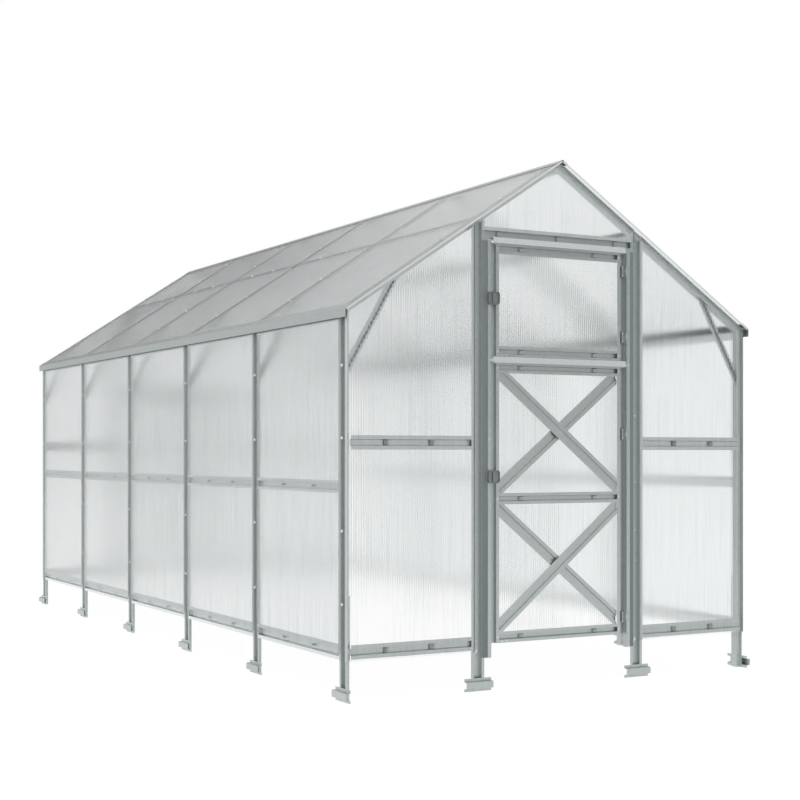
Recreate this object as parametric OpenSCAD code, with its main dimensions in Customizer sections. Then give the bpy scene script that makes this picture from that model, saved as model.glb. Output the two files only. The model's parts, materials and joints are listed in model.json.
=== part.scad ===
// Gable-roofed polycarbonate greenhouse on a frame of galvanised hat profiles.
// Origin on the ground under the middle of the house, X across, Y along the ridge, Z up.
// The gable with the hinged door faces -Y.

/* [House] */
// Width over the steel faces of the two long walls
house_w = 2350; // [1900:10:3000]
// Spacing of the posts along the long walls
bay_pitch = 1000; // [700:10:1200]
// Number of bays along each long wall
bay_count = 5; // [3:1:7]
// Height of the foot of the frame above the ground
sill_h = 184; // [130:1:300]
// Height of the long walls from the sill to the eave corner
wall_h = 1610; // [1500:1:1800]
// Pitch of the roof in degrees
roof_pitch = 33.2; // [28:0.1:38]

/* [Steel] */
// Thickness of the galvanised strip
steel_t = 1.5; // [1:0.1:2]
// Open mouth of a post's channel
post_open = 40; // [34:1:46]
// Width of each flange of a post
post_flange = 17; // [14:1:22]
// Depth of a post's channel
post_depth = 22; // [18:1:28]
// Open mouth of a rail's channel
rail_open = 30; // [24:1:34]
// Width of each flange of a rail
rail_flange = 14; // [11:1:18]
// Depth of a rail's channel
rail_depth = 18; // [14:1:20]
// Width of each flange of the gable's rails and header
gable_flange = 18; // [14:1:22]
// Open mouth of a knee brace's channel
knee_open = 18; // [14:1:24]
// Width of each flange of a knee brace
knee_flange = 11; // [8:1:14]
// Depth of a knee brace's channel
knee_depth = 14; // [10:1:18]
// How far each channel web leans in over its depth
web_lean = 3; // [1:0.5:4]
// Slip between two nested profiles
nest_gap = 0.2; // [0.1:0.05:0.3]

/* [Legs] */
// Length of a leg that is nested behind its post
leg_lap = 300; // [150:10:450]
// Length of a foot's cross-piece
foot_l = 150; // [110:5:200]
// Open mouth of a foot's channel
foot_open = 34; // [28:1:40]
// Depth of a foot's channel
foot_depth = 22; // [16:1:26]

/* [Wall rails] */
// Height of the middle of the bottom rail above the sill
bottom_rail_z = 40; // [38:1:60]
// Height of the middle of the long wall's middle rail above the sill
mid_rail_z = 797; // [500:1:1000]
// Height of the middle of the gable's bottom rail above the sill
gable_bottom_z = 44; // [40:1:70]
// Height of the middle of the gable's middle rail above the sill
gable_mid_z = 1000; // [700:1:1300]
// Drop of the eave rail's upper edge below the eave corner
eave_rail_drop = 14; // [12:1:40]
// Height of the lower end of a knee brace below the eave corner
knee_drop = 260; // [200:5:350]
// Lean of a knee brace from upright in degrees
knee_lean = 30; // [25:1:40]

/* [Roof] */
// Distance of the middle purlin up the slope from the eave corner
purlin_s = 835; // [600:5:1000]
// Width of each flange of the ridge angle
ridge_flange = 60; // [40:1:80]
// Overhang of the roof beyond the gable sheets
gable_overhang = 20; // [10:1:40]
// Overhang of the roof beyond the long walls, along the slope
eave_overhang = 16; // [14:1:24]
// Width of each flange of the ridge cap
cap_flange = 36; // [25:1:60]
// Width of the eave trim on the roof
trim_flange = 46; // [30:1:60]
// Height of the eave trim's upright face
trim_drop = 40; // [30:1:60]
// Slip between the folded trims and the roof sheets
trim_slip = 0.3; // [0.2:0.1:0.8]

/* [Cladding] */
// Thickness of the twin-wall sheets
sheet_t = 8; // [4:0.5:10]
// Number of bays that one roof sheet covers
roof_sheet_bays = 2; // [1:1:3]
// Height of a long-wall sheet's lower edge above the sill
wall_sheet_z = 33; // [20:1:36]
// Height of a gable sheet's lower edge above the sill
gable_sheet_z = 5; // [0:1:12]
// Distance of a sheet's edge from the mouth of a post's channel
sheet_set = 1; // [0.5:0.5:4]
// Open joint between neighbouring sheets
sheet_joint = 2; // [1:0.5:4]

/* [Doorway] */
// Distance from the middle of the gable to a surround strip
doorway_half_w = 404; // [360:1:440]
// Distance from the surround strip's raised face to the door post
strip_step = 12; // [8:1:20]
// Width of the surround strip's raised face
strip_face = 20; // [16:1:26]
// Height of the surround strip's raised face over the posts
strip_rise = 10; // [6:0.5:12]
// Lap of the surround strip over a door post's flange
strip_lap = 16; // [12:1:17]
// Distance that the surround strips hang below the sill
strip_hang = 28; // [10:1:60]
// Drop of the header below the rafters at the door posts
header_drop = 32; // [20:1:90]

/* [Door and vent] */
// Gap between a leaf and the surround strips
leaf_gap = 8; // [7.5:0.5:12]
// Height of the door leaf's lower edge above the sill
door_z = 38; // [20:1:80]
// Height of the door's middle rail above the sill
door_mid_z = 731; // [600:1:850]
// Height of the vent leaf
vent_h = 551; // [400:1:600]
// Gap between the door leaf and the vent leaf
leaf_split = 22; // [18:1:40]
// Gap between the vent leaf and the header
vent_gap = 6; // [5:0.5:10]
// Open mouth of a leaf member's channel
leaf_open = 24; // [20:1:28]
// Width of a leaf rail's flanges
leaf_flange = 15; // [10:1:18]
// Width of a leaf stile's flange
stile_flange = 17; // [12:1:20]
// Depth of a leaf's members, which two layers of bracing share
leaf_depth = 18; // [14:1:20]
// Open mouth of a brace's channel
brace_open = 28; // [18:1:34]
// Width of a brace's flanges
brace_flange = 18; // [10:1:22]
// Rise of a brace's lower end over its field's corner, in the upper and the lower field
brace_foot_rise = [20, 24]; // [-10:1:40]
// Drop of a brace's upper end below its field's corner, in the upper and the lower field
brace_head_drop = [-4, 14]; // [-10:1:40]
// Setback of a leaf's sheet from the leaf's edges
leaf_sheet_set = 2; // [1:0.5:5]

/* [Drip bars] */
// Height of the drip bar's lip
bar_h = 28; // [20:1:34]
// Lap of the drip bar below the leaf's upper edge
bar_lap = 4; // [3:1:10]
// Setback of the drip bar's ends from the leaf's edges
bar_set = 2; // [2:1:20]
// Distance of the drip bar's lower edge from the leaf's face
bar_out = 20; // [16:1:26]
// Distance of the drip bar's upper edge from the leaf's face
bar_back = 8; // [7:0.5:12]
// Height of the drip bar's foot on the leaf
bar_foot = 6; // [4:0.5:6]

/* [Hinges and latches] */
// Height of a hinge
hinge_h = 55; // [45:1:80]
// Height of the door's lower hinge above the leaf's lower edge
door_hinge_rise = 87; // [60:1:150]
// Drop of the door's upper hinge below the leaf's upper edge
door_hinge_drop = 344; // [100:1:400]
// Height of the vent's lower hinge above the leaf's lower edge
vent_hinge_rise = 123; // [60:1:150]
// Drop of the vent's upper hinge below the leaf's upper edge
vent_hinge_drop = 95; // [60:1:150]
// Radius of a hinge's knuckle
knuckle_r = 3.6; // [3.2:0.1:5]
// Radius of a hinge's pin
pin_r = 2; // [1.5:0.1:2.5]
// Running clearance of a knuckle on its pin
pin_slip = 0.05; // [0.03:0.01:0.08]
// Thickness of a hinge's plates
hinge_t = 2; // [1.5:0.1:2.5]
// Depth that a knuckle is rolled into its plate
knuckle_bite = 1; // [0.6:0.1:1.4]
// Gap between the knuckles of a hinge
knuckle_gap = 0.5; // [0.3:0.1:1]
// Width of the block that bolts a hinge into the stile
hinge_block = 12; // [8:1:14]
// Slip between that block and the stile's web
block_slip = 0.3; // [0.2:0.1:1]
// Height of the door's latch above its middle rail
door_latch_rise = 107; // [80:1:200]
// Height of the vent's latch above the leaf's lower edge
vent_latch_rise = 280; // [150:1:300]
// Width of a latch's tray
latch_w = 64; // [56:1:80]
// Height of a latch's tray
latch_h = 62; // [54:1:80]
// Corner radius of a latch's tray
latch_corner = 14; // [8:1:20]
// Height of the rim of a latch's tray
latch_rim = 8; // [5:0.5:12]
// Thickness of a latch's tray
latch_t = 2; // [1.5:0.1:3]
// Distance of a latch's middle from the leaf's edge
latch_set = 1; // [0:1:8]
// Clearance between a latch and the surround strip
latch_clear = 5; // [5:0.5:10]
// Radius of a latch's spindle
spindle_r = 5; // [4:0.5:6]
// Width of a latch's thumb bar
thumb_w = 15; // [10:1:20]
// Height of a latch's thumb bar
thumb_h = 46; // [36:1:54]

/* [Hidden] */
$fn = 48;

half_w = house_w / 2;
half_l = bay_count * bay_pitch / 2;
eave_z = sill_h + wall_h;
slope_l = half_w / cos(roof_pitch);
mitre_tilt = (90 - roof_pitch) / 2;
// Longer than any cut needs
reach = 2 * (house_w + eave_z);

// Positions of the frames along the house
frame_y = [for (i = [0 : bay_count]) i * bay_pitch - half_l];
bay_y = [for (i = [0 : bay_count - 1]) (i + 0.5) * bay_pitch - half_l];

// Profiles as [open mouth, flange on one side, flange on the other, depth]
POST = [post_open, post_flange, post_flange, post_depth];
RAIL = [rail_open, rail_flange, rail_flange, rail_depth];
GABLE = [rail_open, gable_flange, gable_flange, rail_depth];
KNEE = [knee_open, knee_flange, knee_flange, knee_depth];
FOOT = [foot_open, rail_flange, rail_flange, foot_depth];
LEAF = [leaf_open, leaf_flange, leaf_flange, leaf_depth];
STILE = [leaf_open, stile_flange, 0, leaf_depth];
BRACE = [brace_open, brace_flange, brace_flange, leaf_depth / 2];

function hat_w(p) = p[0] + p[1] + p[2];
// Lean of a web for each unit of depth
function web_slope(p) = web_lean / (p[3] - steel_t);
// Thickness of a leaning web, measured across the profile
function web_t(p) = steel_t * sqrt(1 + pow(web_slope(p), 2));
// A leg is the profile that nests behind a post
leg_set = steel_t + nest_gap;
leg_open = post_open + 2 * (web_t(POST) - web_slope(POST) * leg_set + nest_gap);
leg_flange = (hat_w(POST) - leg_open) / 2;
LEG = [leg_open, leg_flange, leg_flange, post_depth];

post_half_w = hat_w(POST) / 2;
gable_y = half_l + post_half_w;
roof_end = gable_y + sheet_t + gable_overhang;
foot_h = hat_w(FOOT);
bay_clear = bay_pitch - 2 * post_half_w;
// A rail's tongue runs on under the flange of an upright as far as its web: [set-back, length]
function tongue(upright, set, flange) = [set + nest_gap, flange - web_t(upright)];
POST_TONGUE = tongue(POST, steel_t, post_flange);
LEG_TONGUE = tongue(LEG, leg_set + steel_t, leg_flange);
STILE_TONGUE = tongue(STILE, steel_t, stile_flange);
// Height of the folded trims over the steel of the roof
trim_seat = sheet_t + trim_slip;

// Underside of the roof at a distance from the middle, lowered by a depth below the slope
function roof_z(x, depth) = eave_z + (half_w - abs(x)) * tan(roof_pitch) - depth / cos(roof_pitch);

door_post_x = doorway_half_w + strip_face + strip_step + post_half_w;
header_half_l = door_post_x - post_half_w;
leaf_half_w = doorway_half_w - leaf_gap;
stile_w = leaf_open + stile_flange + web_t(STILE);
stile_mid_x = leaf_half_w - web_t(STILE) - leaf_open / 2;
field_half_w = leaf_half_w - stile_w;

// Heights above the sill, from the header under the rafters down to the door
leaf_rail_h = hat_w(LEAF);
header_z = roof_z(header_half_l, post_depth) - sill_h - header_drop - hat_w(GABLE);
header_mid_z = header_z + hat_w(GABLE) / 2;
vent_top_z = header_z - vent_gap;
vent_z = vent_top_z - vent_h;
door_top_z = vent_z - leaf_split;
door_rail_z = [door_z + leaf_rail_h / 2, door_mid_z, door_top_z - leaf_rail_h / 2];
vent_rail_z = [vent_z + leaf_rail_h / 2, vent_top_z - leaf_rail_h / 2];
// The door's upper and lower fields between its rails
leaf_field = [
    [door_mid_z + leaf_rail_h / 2, door_top_z - leaf_rail_h],
    [door_z + leaf_rail_h, door_mid_z - leaf_rail_h / 2]
];
door_hinge_z = [door_z + door_hinge_rise, door_top_z - door_hinge_drop];
vent_hinge_z = [vent_z + vent_hinge_rise, vent_top_z - vent_hinge_drop];
door_latch_z = door_mid_z + door_latch_rise;
vent_latch_z = vent_z + vent_latch_rise;

hinge_x = leaf_half_w + leaf_gap / 2;
hinge_y = gable_y + strip_rise + hinge_t + knuckle_r - knuckle_bite;
knuckle_h = hinge_h / 3;

module steel() { color([0.66, 0.69, 0.69]) children(); }
module sheet() { color([0.88, 0.91, 0.91, 0.5]) children(); }

// Cross-section of a hat profile: flange faces on y = 0, channel towards +y
module hat_section(p) {
    mouth = p[0] / 2;
    lean = web_slope(p);
    outer = mouth + web_t(p);
    left_rim = p[1] > 0 ? [[-outer + lean * steel_t, steel_t], [-mouth - p[1], steel_t], [-mouth - p[1], 0]]
                        : [[-outer, 0]];
    right_rim = p[2] > 0 ? [[mouth + p[2], 0], [mouth + p[2], steel_t], [outer - lean * steel_t, steel_t]]
                         : [[outer, 0]];
    polygon(concat(
        left_rim,
        [[-mouth, 0], [-mouth + web_lean, p[3] - steel_t], [mouth - web_lean, p[3] - steel_t], [mouth, 0]],
        right_rim,
        [[outer - lean * p[3], p[3]], [-outer + lean * p[3], p[3]]]
    ));
}

// Upright bar that stands on the origin with its open side towards -Y
module hat_upright(p, l) { linear_extrude(l) hat_section(p); }

// Level bar along X, centred on the origin, with its open side towards -Y
module hat_level(p, l) { translate([-l / 2, 0, 0]) rotate([0, 90, 0]) hat_upright(p, l); }

// Level bar between two uprights, with a tongue under the flange of the left, the right or both
module tongued_level(p, l, tongue, left = true, right = true) {
    start = left ? tongue[1] : 0;
    finish = right ? tongue[1] : 0;
    difference() {
        translate([(finish - start) / 2, 0, 0]) hat_level(p, l + start + finish);
        for (s = [-1, 1]) translate([s * (l / 2 + tongue[1]), 0, 0])
            cube([2 * tongue[1], 2 * tongue[0], 2 * hat_w(p)], center = true);
    }
}

// Turns what faces -Y so that it faces -X
module face_left() { rotate([0, 0, -90]) children(); }
module on_right() { mirror([1, 0, 0]) children(); }
module on_rear() { rotate([0, 0, 180]) children(); }
module both_ends() { children(); on_rear() children(); }
module both_sides() { children(); on_right() children(); }
module at_wall(y, z) { translate([-half_w, y, sill_h + z]) face_left() children(); }
module at_gable(x, z) { translate([x, -gable_y, sill_h + z]) children(); }
// Frame of the left slope: Z up the slope from the eave corner, X down into the house
module at_slope() { translate([-half_w, 0, eave_z]) rotate([0, 90 - roof_pitch, 0]) children(); }

// Everything above the mitre plane at the left eave corner, or below it
module mitre_side(above) {
    translate([-half_w, 0, eave_z]) rotate([0, mitre_tilt, 0])
        translate([-reach / 2, -reach / 2, above ? 0 : -reach]) cube(reach);
}

// Outline of the room inside the frames' channels, left of the middle
module inner_outline() {
    x = half_w - post_depth;
    polygon([[-x, 0], [0, 0], [0, roof_z(0, post_depth)], [-x, roof_z(x, post_depth)]]);
}

// Upright slab in the plane of the front gable, from an outline in X and Z
module gable_slab() {
    translate([0, -gable_y, 0]) rotate([90, 0, 0]) linear_extrude(sheet_t) children();
}

module left_post_row() {
    difference() {
        for (y = frame_y) at_wall(y, 0) hat_upright(POST, wall_h + post_depth);
        mitre_side(true);
    }
}

module door_post_pair() {
    for (s = [-1, 1]) intersection() {
        at_gable(s * door_post_x, 0) hat_upright(POST, roof_z(0, 0));
        translate([0, -half_l, 0]) rotate([90, 0, 0]) linear_extrude(half_l, center = true)
            gable_outline(post_depth + nest_gap);
    }
}

// Outline of the gable below the roof
module gable_outline(depth) {
    polygon([
        [-half_w, 0], [half_w, 0], [half_w, roof_z(half_w, depth)],
        [0, roof_z(0, depth)], [-half_w, roof_z(half_w, depth)]
    ]);
}

module leg() { translate([0, leg_set, -sill_h]) hat_upright(LEG, sill_h + leg_lap); }
module foot() {
    translate([0, leg_set, foot_h / 2 - sill_h]) rotate([180, 0, 0]) hat_level(FOOT, foot_l);
}

// One child on every wall post and every door post
module each_post() {
    both_sides() for (y = frame_y) at_wall(y, 0) children();
    both_ends() for (s = [-1, 1]) at_gable(s * door_post_x, 0) children();
}

module left_rafter_row() {
    difference() {
        at_slope() for (y = frame_y) translate([0, y, -post_depth]) face_left()
            hat_upright(POST, slope_l + 2 * post_depth);
        mitre_side(false);
        translate([0, -reach / 2, 0]) cube(reach);
    }
}

module knee_row() {
    for (y = frame_y) intersection() {
        translate([-half_w + post_depth, y - knee_depth / 2, eave_z - knee_drop])
            rotate([0, knee_lean, 0]) translate([0, 0, -reach / 2]) hat_upright(KNEE, reach);
        translate([0, y + post_depth, 0]) rotate([90, 0, 0])
            linear_extrude(2 * post_depth) inner_outline();
    }
}

module left_rail_rows() {
    for (y = bay_y) {
        at_wall(y, bottom_rail_z) tongued_level(POST, bay_clear, LEG_TONGUE);
        at_wall(y, mid_rail_z) tongued_level(RAIL, bay_clear, POST_TONGUE);
        at_wall(y, wall_h - eave_rail_drop - hat_w(KNEE) / 2)
            tongued_level(KNEE, bay_clear, POST_TONGUE);
    }
}

module left_purlin_row() {
    at_slope() for (y = bay_y) translate([0, y, purlin_s]) face_left()
        tongued_level(RAIL, bay_clear, POST_TONGUE);
}

module ridge_angle_section() {
    drop = ridge_flange * sin(roof_pitch);
    run = ridge_flange * cos(roof_pitch);
    top = roof_z(0, nest_gap);
    low = roof_z(0, nest_gap + steel_t);
    polygon([[-run, top - drop], [0, top], [run, top - drop], [run, low - drop], [0, low], [-run, low - drop]]);
}

module front_gable_rail_set() {
    outer = half_w - post_depth - leg_set;
    inner = door_post_x + post_half_w;
    for (s = [-1, 1]) {
        at_gable(s * (outer + inner) / 2, gable_bottom_z)
            tongued_level(GABLE, outer - inner, LEG_TONGUE, s > 0, s < 0);
        at_gable(s * (outer + inner) / 2, gable_mid_z)
            tongued_level(GABLE, outer - inner, POST_TONGUE, s > 0, s < 0);
    }
}

module left_sheet_row() {
    w = bay_pitch - post_open - 2 * sheet_set;
    top = wall_h - sheet_t;
    for (y = bay_y) translate([-half_w - sheet_t, y - w / 2, sill_h + wall_sheet_z])
        cube([sheet_t, w, top - wall_sheet_z]);
}

// Roof sheets from the front gable, the last one cut where the bays run out
module left_roof_sheet_set() {
    l = slope_l + eave_overhang - sheet_joint / 2;
    at_slope() for (i = [0 : roof_sheet_bays : bay_count - 1]) {
        last = min(i + roof_sheet_bays, bay_count);
        y0 = i == 0 ? -roof_end : frame_y[i] + sheet_joint / 2;
        y1 = last == bay_count ? roof_end : frame_y[last] - sheet_joint / 2;
        translate([-sheet_t, y0, -eave_overhang]) cube([sheet_t, y1 - y0, l]);
    }
}

module front_sheet_set() {
    side_x = door_post_x + post_open / 2 + sheet_set;
    top_x = door_post_x - post_open / 2 - sheet_set;
    low = sill_h + gable_sheet_z;
    top_low = sill_h + header_mid_z + rail_open / 2 + sheet_set;
    gable_slab() both_sides() polygon([
        [-half_w, low], [-side_x, low],
        [-side_x, roof_z(side_x, sheet_set)], [-half_w, roof_z(half_w, sheet_set)]
    ]);
    gable_slab() polygon([
        [-top_x, top_low], [top_x, top_low], [top_x, roof_z(top_x, sheet_set)],
        [0, roof_z(0, sheet_set)], [-top_x, roof_z(top_x, sheet_set)]
    ]);
}

module left_trim() {
    x = half_w + eave_overhang * cos(roof_pitch) + sheet_t * sin(roof_pitch) + trim_slip;
    z = roof_z(half_w, -trim_seat) - (x - half_w) * tan(roof_pitch);
    run = trim_flange * cos(roof_pitch);
    rise = trim_flange * sin(roof_pitch);
    lift = steel_t / cos(roof_pitch);
    translate([0, roof_end, 0]) rotate([90, 0, 0]) linear_extrude(2 * roof_end) polygon([
        [-x, z], [-x, z - trim_drop], [-x - steel_t, z - trim_drop],
        [-x - steel_t, z + lift - steel_t * tan(roof_pitch)], [-x + run, z + rise + lift], [-x + run, z + rise]
    ]);
}

module ridge_cap_section() {
    drop = cap_flange * sin(roof_pitch);
    run = cap_flange * cos(roof_pitch);
    low = roof_z(0, -trim_seat);
    top = roof_z(0, -trim_seat - steel_t);
    polygon([[-run, top - drop], [0, top], [run, top - drop], [run, low - drop], [0, low], [-run, low - drop]]);
}

// Raised strip on a door post's inner flange, with its hollow towards the post
// and its inner wall carried back beside the leaf
module strip_section() {
    lap = doorway_half_w + strip_face;
    edge = header_half_l + strip_lap;
    polygon([
        [doorway_half_w, post_depth], [doorway_half_w, -strip_rise], [lap, -strip_rise], [lap, -steel_t],
        [edge, -steel_t], [edge, 0], [lap - steel_t, 0], [lap - steel_t, steel_t - strip_rise],
        [doorway_half_w + steel_t, steel_t - strip_rise], [doorway_half_w + steel_t, post_depth]
    ]);
}

module front_strip_pair() {
    both_sides() at_gable(0, -strip_hang) linear_extrude(header_z + strip_hang) strip_section();
}

// The two stiles of a leaf between two heights
module stile_pair(z0, z1) {
    both_sides() at_gable(stile_mid_x, z0) hat_upright(STILE, z1 - z0);
}

module leaf_rails(heights) {
    for (z = heights) at_gable(0, z) tongued_level(LEAF, 2 * field_half_w, STILE_TONGUE);
}

// One diagonal of the upper field, 0, or the lower field, 1, rising to the right if rise is 1
module field_brace(field, rise, layer) {
    bottom = leaf_field[field][0];
    h = leaf_field[field][1] - bottom;
    low = bottom + brace_foot_rise[field];
    high = bottom + h - brace_head_drop[field];
    tilt = atan2(high - low, 2 * field_half_w);
    intersection() {
        at_gable(0, (low + high) / 2) translate([0, layer * leaf_depth / 2, 0])
            rotate([0, -rise * tilt, 0]) hat_level(BRACE, 2 * (h + field_half_w));
        at_gable(-field_half_w, bottom) cube([2 * field_half_w, leaf_depth, h]);
    }
}

module leaf_sheet(z0, z1) {
    w = leaf_half_w - leaf_sheet_set;
    at_gable(-w, z0 + leaf_sheet_set) translate([0, leaf_depth, 0])
        cube([2 * w, sheet_t, z1 - z0 - 2 * leaf_sheet_set]);
}

// Bent drip bar on a leaf's top rail: a foot, a shelf and a lip that leans back
module drip_bar(top_z) {
    w = leaf_half_w - bar_set;
    at_gable(-w, top_z - bar_lap) rotate([90, 0, 90]) linear_extrude(2 * w) polygon([
        [0, 0], [0, -bar_foot], [-steel_t, -bar_foot], [-steel_t, -steel_t],
        [-bar_out - steel_t, -steel_t], [-bar_back - steel_t, bar_h], [-bar_back, bar_h],
        [-bar_out + steel_t, 0]
    ]);
}

// Outline of a latch's tray, drawn in by an inset
module tray_outline(inset) {
    r = latch_corner - inset;
    x = latch_w / 2 - latch_corner;
    y = latch_h / 2 - latch_corner;
    square([2 * (x + r), 2 * y], center = true);
    square([2 * x, 2 * (y + r)], center = true);
    for (i = [-1, 1], j = [-1, 1]) translate([i * x, j * y]) circle(r);
}

// Turn latch: a spindle out of the stile's channel, a rimmed tray over the surround strip
// and a thumb bar across the tray
module latch(z) {
    bed = leaf_depth - steel_t;
    back = strip_rise + latch_clear;
    at_gable(latch_set - leaf_half_w, z) rotate([90, 0, 0]) {
        translate([leaf_half_w - latch_set - stile_mid_x, 0, -bed])
            cylinder(r = spindle_r, h = bed + back + latch_t / 2);
        translate([0, 0, back]) {
            difference() {
                linear_extrude(latch_rim) tray_outline(0);
                translate([0, 0, latch_t]) linear_extrude(latch_rim) tray_outline(latch_t);
            }
            translate([-thumb_w / 2, -thumb_h / 2, latch_t / 2])
                cube([thumb_w, thumb_h, latch_rim]);
        }
    }
}

// Leaf side of a hinge: a block in the stile's channel, a plate over the channel's edge,
// a riser and the middle knuckle
module hinge_leaf(z) {
    bed = leaf_depth - steel_t;
    block_x = leaf_half_w - web_t(STILE) - web_lean - block_slip - hinge_block;
    riser = leaf_half_w - steel_t - hinge_t;
    tall = knuckle_h - 2 * knuckle_gap;
    translate([0, 0, sill_h + z]) difference() {
        union() {
            translate([hinge_x, -hinge_y, -tall / 2]) cylinder(r = knuckle_r, h = tall);
            translate([riser, -hinge_y - hinge_t / 2, -tall / 2]) cube([hinge_x - riser, hinge_t, tall]);
            translate([riser, -hinge_y - hinge_t / 2, -tall / 2])
                cube([hinge_t, hinge_y + hinge_t / 2 - gable_y, tall]);
            translate([block_x, -gable_y - hinge_t, -hinge_h / 2])
                cube([riser + hinge_t - block_x, hinge_t, hinge_h]);
            translate([block_x, -gable_y - hinge_t, -hinge_h / 2])
                cube([hinge_block, hinge_t + bed, hinge_h]);
        }
        translate([hinge_x, -hinge_y, -tall]) cylinder(r = pin_r + pin_slip, h = 2 * tall);
    }
}

// Fixed side: two knuckles on a plate on the surround strip, with the pin
module hinge_fixed(z) {
    face_y = gable_y + strip_rise;
    low = sill_h + z - hinge_h / 2;
    for (k = [0, 2]) translate([0, 0, low + k * knuckle_h]) {
        translate([hinge_x, -hinge_y, 0]) cylinder(r = knuckle_r, h = knuckle_h);
        translate([hinge_x, -face_y - hinge_t, 0])
            cube([doorway_half_w + strip_face - hinge_x, hinge_t, knuckle_h]);
    }
    translate([hinge_x, -hinge_y, low]) cylinder(r = pin_r, h = hinge_h);
}

module outer_brace_pair() {
    field_brace(0, -1, 0);
    field_brace(1, 1, 0);
}
module inner_brace_pair() {
    field_brace(0, 1, 1);
    field_brace(1, -1, 1);
}

module wall_posts() { steel() both_sides() left_post_row(); }
module door_posts() { steel() both_ends() door_post_pair(); }
module legs() { steel() each_post() leg(); }
module feet() { steel() each_post() foot(); }
module left_rafters() { steel() left_rafter_row(); }
module right_rafters() { steel() on_right() left_rafter_row(); }
module knee_braces() { steel() both_sides() knee_row(); }
module left_wall_rails() { steel() left_rail_rows(); }
module right_wall_rails() { steel() on_right() left_rail_rows(); }
module roof_purlins() { steel() both_sides() left_purlin_row(); }
module ridge_angles() {
    steel() for (y = bay_y) translate([0, y, 0]) rotate([90, 0, 0])
        linear_extrude(bay_clear, center = true) ridge_angle_section();
}
module gable_rails() { steel() both_ends() front_gable_rail_set(); }
module door_headers() {
    steel() both_ends() at_gable(0, header_mid_z)
        tongued_level(GABLE, 2 * header_half_l, POST_TONGUE);
}
module left_wall_sheets() { sheet() left_sheet_row(); }
module right_wall_sheets() { sheet() on_right() left_sheet_row(); }
module left_roof_sheets() { sheet() left_roof_sheet_set(); }
module right_roof_sheets() { sheet() on_right() left_roof_sheet_set(); }
module front_gable_sheets() { sheet() front_sheet_set(); }
module rear_gable_sheets() { sheet() on_rear() front_sheet_set(); }
module eave_trims() { steel() both_sides() left_trim(); }
module ridge_cap() {
    steel() rotate([90, 0, 0]) linear_extrude(2 * roof_end, center = true) ridge_cap_section();
}
module surround_strips() { steel() both_ends() front_strip_pair(); }
module door_stiles() { steel() stile_pair(door_z, door_top_z); }
module door_rails() { steel() leaf_rails(door_rail_z); }
module door_outer_braces() { steel() outer_brace_pair(); }
module door_inner_braces() { steel() inner_brace_pair(); }
module door_sheet() { sheet() leaf_sheet(door_z, door_top_z); }
module door_drip_bar() { steel() drip_bar(door_top_z); }
module door_latch() { steel() latch(door_latch_z); }
module door_hinge_leaves() { steel() for (z = door_hinge_z) hinge_leaf(z); }
module door_hinge_pins() { steel() for (z = door_hinge_z) hinge_fixed(z); }
module vent_stiles() { steel() stile_pair(vent_z, vent_top_z); }
module vent_rails() { steel() leaf_rails(vent_rail_z); }
module vent_sheet() { sheet() leaf_sheet(vent_z, vent_top_z); }
module vent_drip_bar() { steel() drip_bar(vent_top_z); }
module vent_latch() { steel() latch(vent_latch_z); }
module vent_hinges() {
    steel() for (z = vent_hinge_z) {
        hinge_leaf(z);
        hinge_fixed(z);
    }
}
module rear_stiles() {
    steel() on_rear() {
        stile_pair(door_z, door_top_z);
        stile_pair(vent_z, vent_top_z);
    }
}
module rear_rails() { steel() on_rear() leaf_rails(concat(door_rail_z, vent_rail_z)); }
module rear_outer_braces() { steel() on_rear() outer_brace_pair(); }
module rear_inner_braces() { steel() on_rear() inner_brace_pair(); }
module rear_leaf_sheets() {
    sheet() on_rear() {
        leaf_sheet(door_z, door_top_z);
        leaf_sheet(vent_z, vent_top_z);
    }
}
module rear_drip_bars() {
    steel() on_rear() {
        drip_bar(door_top_z);
        drip_bar(vent_top_z);
    }
}
module rear_latches() { steel() on_rear() for (z = [door_latch_z, vent_latch_z]) latch(z); }
module rear_hinges() {
    steel() on_rear() for (z = concat(door_hinge_z, vent_hinge_z)) {
        hinge_leaf(z);
        hinge_fixed(z);
    }
}

wall_posts();
door_posts();
legs();
feet();
left_rafters();
right_rafters();
knee_braces();
left_wall_rails();
right_wall_rails();
roof_purlins();
ridge_angles();
gable_rails();
door_headers();
left_wall_sheets();
right_wall_sheets();
left_roof_sheets();
right_roof_sheets();
front_gable_sheets();
rear_gable_sheets();
eave_trims();
ridge_cap();
surround_strips();
door_stiles();
door_rails();
door_outer_braces();
door_inner_braces();
door_sheet();
door_drip_bar();
door_latch();
door_hinge_leaves();
door_hinge_pins();
vent_stiles();
vent_rails();
vent_sheet();
vent_drip_bar();
vent_latch();
vent_hinges();
rear_stiles();
rear_rails();
rear_outer_braces();
rear_inner_braces();
rear_leaf_sheets();
rear_drip_bars();
rear_latches();
rear_hinges();
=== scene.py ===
"""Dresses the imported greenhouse: fluted sheets, galvanised steel, fasteners, studio and camera."""

from __future__ import annotations

import json
import logging
import math
from dataclasses import dataclass
from enum import Enum
from typing import Any, Callable, Sequence

import bpy
from mathutils import Matrix, Vector

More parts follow.
